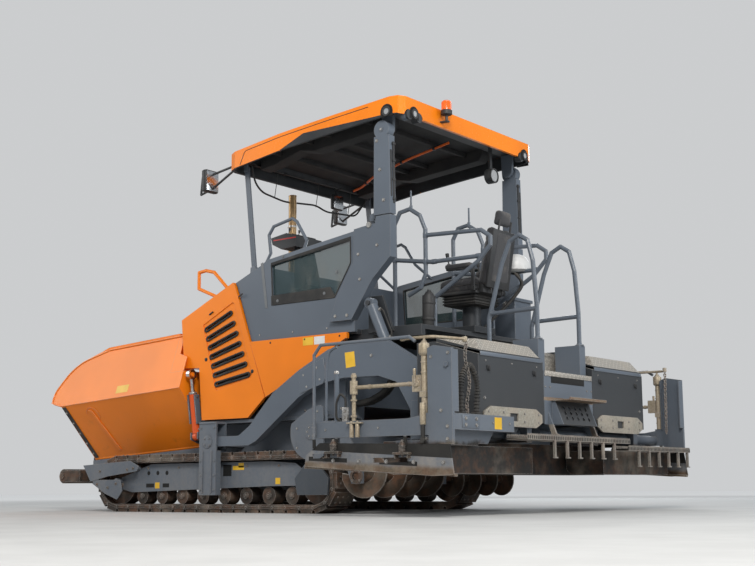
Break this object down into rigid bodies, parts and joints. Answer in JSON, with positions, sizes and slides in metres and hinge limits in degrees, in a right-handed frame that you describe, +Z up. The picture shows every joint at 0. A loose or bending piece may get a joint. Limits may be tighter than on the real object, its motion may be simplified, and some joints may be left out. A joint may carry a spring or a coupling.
{
  "type": "tracked asphalt paver",
  "caption": "Tracked road paver: receiving hopper with folding wings, slatted conveyors, louvred engine hood, roofed driving platform, spreading augers and an extending screed on tow arms.",
  "frame": {"origin": "middle of the machine's outline on the ground", "axes": "+X forward to the hopper, +Y to the left, +Z up"},
  "size_m": [6.33, 4.2366, 3.859],
  "materials": {
    "bright_steel": "bare steel",
    "charcoal": "dark charcoal paint",
    "dusty_metal": "metal under caked pale dust",
    "engine_black": "black engine",
    "orange": "orange machine paint",
    "seat_vinyl": "black seat covering",
    "sleeve_red": "orange-red cylinder sleeve",
    "steel_grey": "blue-grey machine paint",
    "window_glass": "clear window glass",
    "worn_steel": "worn, dusty steel"
  },
  "bodies": {
    "chassis": {"chassis_frame": "steel_grey", "track_frames": "steel_grey", "track_left": "worn_steel", "track_right": "worn_steel", "track_wheels": "charcoal", "conveyors": "bright_steel", "engine_block": "engine_black", "tow_guides": "steel_grey", "hood_cover": "orange", "hood_rear_panels": "orange", "cabin_sides": "steel_grey", "cabin_glass": "window_glass", "scuttle": "steel_grey", "platform_deck": "charcoal", "rear_arches": "steel_grey", "platform_rails": "steel_grey", "auger_frame": "steel_grey", "seat_base": "charcoal"},
    "door_left": {"hood_door_left": "orange"},
    "door_right": {"hood_door_right": "orange"},
    "wing_left_body": {"wing_left": "orange"},
    "wing_right_body": {"wing_right": "orange"},
    "wing_barrel_left_body": {"wing_barrel_left": "sleeve_red"},
    "wing_barrel_right_body": {"wing_barrel_right": "sleeve_red"},
    "wing_rod_left_body": {"wing_rod_left": "bright_steel"},
    "wing_rod_right_body": {"wing_rod_right": "bright_steel"},
    "push_beam": {"push_bar": "worn_steel"},
    "roller_left": {"push_roller_left": "worn_steel"},
    "roller_right": {"push_roller_right": "worn_steel"},
    "auger_left_body": {"auger_left": "worn_steel"},
    "auger_right_body": {"auger_right": "worn_steel"},
    "screed": {"screed_arms": "steel_grey", "screed_base": "steel_grey", "screed_covers": "charcoal", "screed_steps": "steel_grey", "screed_hoops": "steel_grey"},
    "extension_left_body": {"extension_left": "steel_grey", "end_plate_left": "steel_grey", "height_gear_left": "dusty_metal"},
    "extension_right_body": {"extension_right": "steel_grey", "end_plate_right": "steel_grey", "height_gear_right": "dusty_metal"},
    "lift_barrel_pair": {"lift_barrels": "steel_grey"},
    "lift_rod_pair": {"lift_rods": "bright_steel"},
    "seat_body": {"seat": "seat_vinyl"},
    "rear_post_pair": {"rear_posts": "steel_grey"},
    "canopy": {"roof_shell": "orange", "roof_fittings": "charcoal", "mirrors": "charcoal"},
    "front_post_pair": {"front_posts": "steel_grey"},
    "exhaust": {"exhaust_pipe": "steel_grey"}
  },
  "joints": [
    {"name": "door_left_hinge", "type": "hinge", "parent": "chassis", "child": "door_left", "pos_m": [-0.21, 1.12, 1.6], "axis": [0, 0, 1], "range_deg": [0, 75]},
    {"name": "wing_left_hinge", "type": "hinge", "parent": "chassis", "child": "wing_left_body", "pos_m": [0.8, 0.84, 0.675], "axis": [0.9982, 0, -0.0593], "range_deg": [-34, 0]},
    {"name": "wing_barrel_left_pivot", "type": "hinge", "parent": "chassis", "child": "wing_barrel_left_body", "pos_m": [0.74455, 1.095, 0.75343], "axis": [0.9982, 0, -0.0593], "range_deg": [-50, 2]},
    {"name": "wing_rod_left_slide", "type": "slide", "parent": "wing_barrel_left_body", "child": "wing_rod_left_body", "axis": [0.0591, 0.0877, 0.9944], "range_m": [-0.13, 0.005]},
    {"name": "door_right_hinge", "type": "hinge", "parent": "chassis", "child": "door_right", "pos_m": [-0.21, -1.12, 1.6], "axis": [0, 0, -1], "range_deg": [0, 75]},
    {"name": "wing_right_hinge", "type": "hinge", "parent": "chassis", "child": "wing_right_body", "pos_m": [0.8, -0.84, 0.675], "axis": [0.9982, 0, -0.0593], "range_deg": [0, 34]},
    {"name": "wing_barrel_right_pivot", "type": "hinge", "parent": "chassis", "child": "wing_barrel_right_body", "pos_m": [0.74455, -1.095, 0.75343], "axis": [0.9982, 0, -0.0593], "range_deg": [-2, 50]},
    {"name": "wing_rod_right_slide", "type": "slide", "parent": "wing_barrel_right_body", "child": "wing_rod_right_body", "axis": [0.0591, -0.0877, 0.9944], "range_m": [-0.13, 0.005]},
    {"name": "push_beam_pivot", "type": "hinge", "parent": "chassis", "child": "push_beam", "pos_m": [2.7, 0, 0.38], "axis": [0, 0, 1], "range_deg": [-4, 4]},
    {"name": "roller_left_spin", "type": "hinge", "parent": "push_beam", "child": "roller_left", "pos_m": [3.085, 0.61, 0.38], "axis": [0, 1, 0], "continuous": true},
    {"name": "roller_right_spin", "type": "hinge", "parent": "push_beam", "child": "roller_right", "pos_m": [3.085, -0.61, 0.38], "axis": [0, 1, 0], "continuous": true},
    {"name": "auger_left_spin", "type": "hinge", "parent": "chassis", "child": "auger_left_body", "pos_m": [-1.45, 0.64, 0.335], "axis": [0, 1, 0], "continuous": true},
    {"name": "auger_right_spin", "type": "hinge", "parent": "chassis", "child": "auger_right_body", "pos_m": [-1.45, -0.64, 0.335], "axis": [0, 1, 0], "continuous": true},
    {"name": "screed_lift", "type": "hinge", "parent": "chassis", "child": "screed", "pos_m": [0.405, 0, 0.685], "axis": [0, 1, 0], "range_deg": [-5, 0]},
    {"name": "lift_barrel_pivot", "type": "hinge", "parent": "chassis", "child": "lift_barrel_pair", "pos_m": [-1.5, 0, 1.9], "axis": [0, 1, 0], "range_deg": [-5, 1]},
    {"name": "lift_rod_slide", "type": "slide", "parent": "lift_barrel_pair", "child": "lift_rod_pair", "axis": [-0.4172, 0, -0.9088], "range_m": [-0.005, 0.22]},
    {"name": "extension_left_slide", "type": "slide", "parent": "screed", "child": "extension_left_body", "axis": [0, 1, 0], "range_m": [-0.55, 0.85]},
    {"name": "extension_right_slide", "type": "slide", "parent": "screed", "child": "extension_right_body", "axis": [0, -1, 0], "range_m": [-0.55, 0.85]},
    {"name": "seat_swivel", "type": "hinge", "parent": "chassis", "child": "seat_body", "pos_m": [-1.88, 0, 1.94], "axis": [0, 0, 1], "range_deg": [-60, 60]},
    {"name": "canopy_fold", "type": "hinge", "parent": "chassis", "child": "rear_post_pair", "pos_m": [-1.53, 0, 2.7], "axis": [0, 1, 0], "range_deg": [0, 90]},
    {"name": "roof_tilt", "type": "hinge", "parent": "rear_post_pair", "child": "canopy", "pos_m": [-1.68, 0, 3.5], "axis": [0, 1, 0], "range_deg": [-95, 2]},
    {"name": "front_post_pivot", "type": "hinge", "parent": "chassis", "child": "front_post_pair", "pos_m": [0.06, 0, 2.395], "axis": [0, 1, 0], "range_deg": [-2, 90]},
    {"name": "exhaust_fold", "type": "hinge", "parent": "chassis", "child": "exhaust", "pos_m": [0.236, 0.3, 2.322], "axis": [0, 1, 0], "range_deg": [0, 92]}
  ],
  "couplings": [
    {"joint": "wing_barrel_left_pivot", "follows": "wing_left_hinge", "ratio": 1.3181},
    {"joint": "wing_barrel_right_pivot", "follows": "wing_right_hinge", "ratio": 1.3181},
    {"joint": "wing_rod_left_slide", "follows": "wing_left_hinge", "m_per_rad": 0.1898},
    {"joint": "wing_rod_right_slide", "follows": "wing_right_hinge", "m_per_rad": -0.1898},
    {"joint": "lift_barrel_pivot", "follows": "screed_lift", "ratio": 0.5301},
    {"joint": "lift_rod_slide", "follows": "screed_lift", "m_per_rad": -2.2302},
    {"joint": "roof_tilt", "follows": "canopy_fold", "ratio": -0.915},
    {"joint": "front_post_pivot", "follows": "canopy_fold", "ratio": 0.82},
    {"joint": "exhaust_fold", "follows": "canopy_fold", "ratio": 1}
  ]
}
